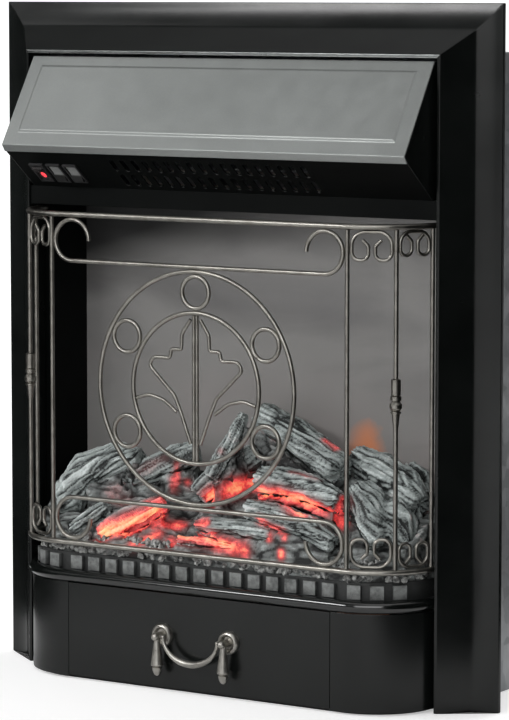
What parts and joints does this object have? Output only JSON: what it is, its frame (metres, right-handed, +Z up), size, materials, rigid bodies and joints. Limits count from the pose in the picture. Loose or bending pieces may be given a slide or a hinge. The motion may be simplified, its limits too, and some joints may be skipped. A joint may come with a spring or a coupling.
{
  "type": "electric fireplace insert",
  "caption": "Wall-set electric fireplace insert with a flared black surround, sloped hood, bowed ornamental wire guard, glowing log bed and a base drawer with a drop handle.",
  "frame": {"origin": "on the floor, at the middle of the plane where the back of the surround meets the wall", "axes": "+Z up, +Y back into the wall, -Y out of the front"},
  "size_m": [0.52, 0.252, 0.605],
  "materials": {
    "black_paint": "satin black paint",
    "hood_metal": "satin pewter metallic paint",
    "zinc_sheet": "zinc-coated sheet steel",
    "screw_steel": "plated screw",
    "black_nylon": "moulded black nylon",
    "rocker_red": "red lit rocker",
    "rocker_grey": "grey moulded rocker",
    "fan_metal": "pressed aluminium",
    "motor_steel": "motor can",
    "heater_ceramic": "heater element in its frame",
    "screen_grey": "grey translucent flame screen",
    "reflector": "bright reflector flags",
    "lamp_glass": "clear lamp",
    "grate_iron": "dark grey casting",
    "ember_resin": "translucent ember resin",
    "log_ash": "ash-coated moulded log",
    "handle_metal": "dark pewter casting",
    "guard_metal": "antique pewter plated wire"
  },
  "bodies": {
    "fire": {"apron_left_corner": "black_paint", "apron_right_corner": "black_paint", "blower_motor": "motor_steel", "blower_scroll": "zinc_sheet", "cable_gland": "black_nylon", "casing_floor": "black_paint", "casing_wrap": "zinc_sheet", "centre_branch": "log_ash", "centre_log": "log_ash", "control_panel": "black_paint", "cover_screws": "screw_steel", "drawer_runners": "zinc_sheet", "ember_bed": "ember_resin", "firebox_ceiling": "zinc_sheet", "firebox_liners": "black_paint", "flame_mask": "zinc_sheet", "flame_screen": "screen_grey", "flicker_motor": "motor_steel", "front_logs": "log_ash", "grate_strip": "grate_iron", "guard_bottom_rail": "guard_metal", "guard_corner_scrolls": "guard_metal", "guard_inner_ring": "guard_metal", "guard_leaf": "guard_metal", "guard_lower_scroll": "guard_metal", "guard_outer_ring": "guard_metal", "guard_small_rings": "guard_metal", "guard_top_rail": "guard_metal", "guard_upper_scroll": "guard_metal", "guard_uprights": "guard_metal", "hearth_shelf": "zinc_sheet", "heater_element": "heater_ceramic", "hood_cheeks": "black_paint", "hood_plate": "hood_metal", "lamp_holders": "black_nylon", "lamps": "lamp_glass", "left_front_logs": "log_ash", "left_log": "log_ash", "lintel": "black_paint", "long_log": "log_ash", "lower_log": "log_ash", "rear_cover": "zinc_sheet", "rear_logs": "log_ash", "right_log": "log_ash", "right_stumps": "log_ash", "shelf_bead": "black_paint", "spindle_brackets": "zinc_sheet", "surround_left_jamb": "black_paint", "surround_right_jamb": "black_paint", "surround_top_rail": "black_paint", "switch_bodies": "black_nylon"},
    "drawer": {"drawer_front": "black_paint", "drawer_tray": "zinc_sheet", "handle_rosettes": "handle_metal"},
    "drop_handle": {"handle_bail": "handle_metal"},
    "power_switch": {"power_rocker": "rocker_red"},
    "low_heat_switch": {"low_heat_rocker": "rocker_grey"},
    "high_heat_switch": {"high_heat_rocker": "rocker_grey"},
    "blower_fan": {"blower_impeller": "fan_metal"},
    "flicker": {"flicker_spindle": "reflector"}
  },
  "joints": [
    {"name": "drawer_slide", "type": "slide", "parent": "fire", "child": "drawer", "axis": [0, -1, 0], "range_m": [0, 0.07]},
    {"name": "handle_swing", "type": "hinge", "parent": "drawer", "child": "drop_handle", "pos_m": [0, -0.0915, 0.0505], "axis": [-1, 0, 0], "range_deg": [0, 95]},
    {"name": "power_rock", "type": "hinge", "parent": "fire", "child": "power_switch", "pos_m": [-0.187, -0.05051, 0.45458], "axis": [1, 0, 0], "range_deg": [-18, 0]},
    {"name": "low_heat_rock", "type": "hinge", "parent": "fire", "child": "low_heat_switch", "pos_m": [-0.1685, -0.05051, 0.45458], "axis": [1, 0, 0], "range_deg": [0, 18]},
    {"name": "high_heat_rock", "type": "hinge", "parent": "fire", "child": "high_heat_switch", "pos_m": [-0.15, -0.05051, 0.45458], "axis": [1, 0, 0], "range_deg": [0, 18]},
    {"name": "blower_spin", "type": "hinge", "parent": "fire", "child": "blower_fan", "pos_m": [0, 0.072, 0.494], "axis": [1, 0, 0], "continuous": true},
    {"name": "flicker_spin", "type": "hinge", "parent": "fire", "child": "flicker", "pos_m": [0, 0.092, 0.152], "axis": [1, 0, 0], "continuous": true}
  ]
}
